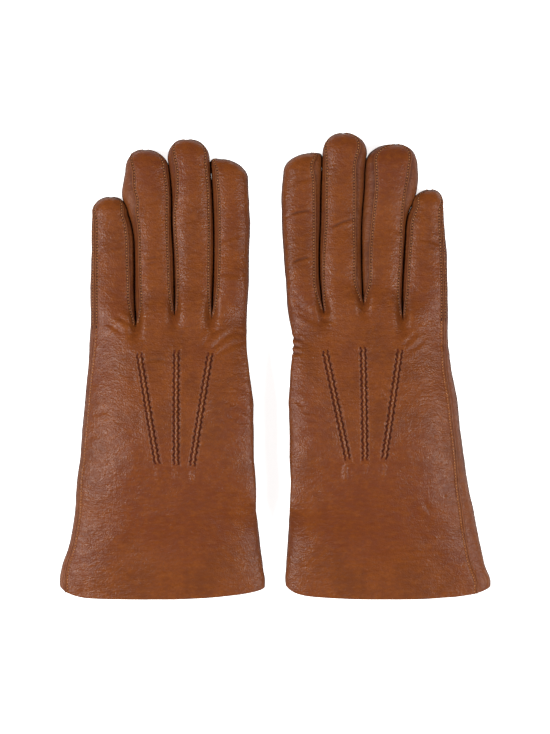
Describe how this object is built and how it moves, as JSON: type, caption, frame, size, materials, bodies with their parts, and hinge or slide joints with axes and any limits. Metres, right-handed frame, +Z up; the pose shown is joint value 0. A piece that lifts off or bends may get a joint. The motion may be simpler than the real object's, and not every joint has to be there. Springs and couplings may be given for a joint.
{
  "type": "leather gloves",
  "caption": "Pair of lined leather dress gloves with stitched points on the backs, side strips between the fingers and flared wrist-length cuffs, thumbs folded under the palms.",
  "frame": {"origin": "on the surface the gloves lie on, under the middle of the pair", "axes": "+Z up out of the backs of the hands, +Y from the cuffs to the fingertips, +X from the left-hand glove to the right-hand glove"},
  "size_m": [0.2262, 0.2435, 0.0233],
  "materials": {
    "leather": "tan brown glove leather, soft satin with a fine grain",
    "lining": "brown fine-knit lining, matt",
    "thread": "dark brown twisted sewing thread"
  },
  "bodies": {
    "left_hand": {"left_trank": "leather", "left_hand_lining": "lining", "left_side_seam": "thread", "left_point_1": "thread", "left_point_2": "thread", "left_point_3": "thread"},
    "left_little_finger": {"left_little_back": "leather", "left_little_palm": "leather", "left_little_fourchette": "leather", "left_little_lining": "lining"},
    "left_ring_finger": {"left_ring_back": "leather", "left_ring_palm": "leather", "left_ring_fourchette_index_side": "leather", "left_ring_fourchette_little_side": "leather", "left_ring_lining": "lining"},
    "left_middle_finger": {"left_middle_back": "leather", "left_middle_palm": "leather", "left_middle_fourchette_index_side": "leather", "left_middle_fourchette_little_side": "leather", "left_middle_lining": "lining"},
    "left_index_finger": {"left_index_cover": "leather", "left_index_fourchette": "leather", "left_index_lining": "lining"},
    "left_thumb": {"left_thumb": "leather", "left_thumb_lining": "lining"},
    "right_hand": {"right_trank": "leather", "right_hand_lining": "lining", "right_side_seam": "thread", "right_point_1": "thread", "right_point_2": "thread", "right_point_3": "thread"},
    "right_little_finger": {"right_little_back": "leather", "right_little_palm": "leather", "right_little_fourchette": "leather", "right_little_lining": "lining"},
    "right_ring_finger": {"right_ring_back": "leather", "right_ring_palm": "leather", "right_ring_fourchette_index_side": "leather", "right_ring_fourchette_little_side": "leather", "right_ring_lining": "lining"},
    "right_middle_finger": {"right_middle_back": "leather", "right_middle_palm": "leather", "right_middle_fourchette_index_side": "leather", "right_middle_fourchette_little_side": "leather", "right_middle_lining": "lining"},
    "right_index_finger": {"right_index_cover": "leather", "right_index_fourchette": "leather", "right_index_lining": "lining"},
    "right_thumb": {"right_thumb": "leather", "right_thumb_lining": "lining"}
  },
  "joints": [
    {"name": "right_glove_apart", "type": "slide", "parent": "left_hand", "child": "right_hand", "axis": [1, 0, 0], "range_m": [0, 0.15]},
    {"name": "left_little_flex", "type": "hinge", "parent": "left_hand", "child": "left_little_finger", "pos_m": [-0.08493, 0.02805, 0.001], "axis": [-1, 0, 0], "range_deg": [0, 85]},
    {"name": "left_ring_flex", "type": "hinge", "parent": "left_hand", "child": "left_ring_finger", "pos_m": [-0.0626, 0.02805, 0.002], "axis": [-1, 0, 0], "range_deg": [0, 85]},
    {"name": "left_middle_flex", "type": "hinge", "parent": "left_hand", "child": "left_middle_finger", "pos_m": [-0.04285, 0.02805, 0.003], "axis": [-1, 0, 0], "range_deg": [0, 85]},
    {"name": "left_index_flex", "type": "hinge", "parent": "left_hand", "child": "left_index_finger", "pos_m": [-0.02348, 0.02805, 0.0036], "axis": [-1, 0, 0], "range_deg": [0, 85]},
    {"name": "left_thumb_unfold", "type": "hinge", "parent": "left_hand", "child": "left_thumb", "pos_m": [-0.01417, -0.03295, 0.00995], "axis": [0, -1, 0], "range_deg": [0, 110]},
    {"name": "right_little_flex", "type": "hinge", "parent": "right_hand", "child": "right_little_finger", "pos_m": [0.07847, 0.03305, 0.001], "axis": [-1, 0, 0], "range_deg": [0, 85]},
    {"name": "right_ring_flex", "type": "hinge", "parent": "right_hand", "child": "right_ring_finger", "pos_m": [0.0562, 0.03305, 0.002], "axis": [-1, 0, 0], "range_deg": [0, 85]},
    {"name": "right_middle_flex", "type": "hinge", "parent": "right_hand", "child": "right_middle_finger", "pos_m": [0.03535, 0.03305, 0.003], "axis": [-1, 0, 0], "range_deg": [0, 85]},
    {"name": "right_index_flex", "type": "hinge", "parent": "right_hand", "child": "right_index_finger", "pos_m": [0.01532, 0.03305, 0.0036], "axis": [-1, 0, 0], "range_deg": [0, 85]},
    {"name": "right_thumb_unfold", "type": "hinge", "parent": "right_hand", "child": "right_thumb", "pos_m": [0.00998, -0.03295, 0.00995], "axis": [0, 1, 0], "range_deg": [0, 110]}
  ]
}
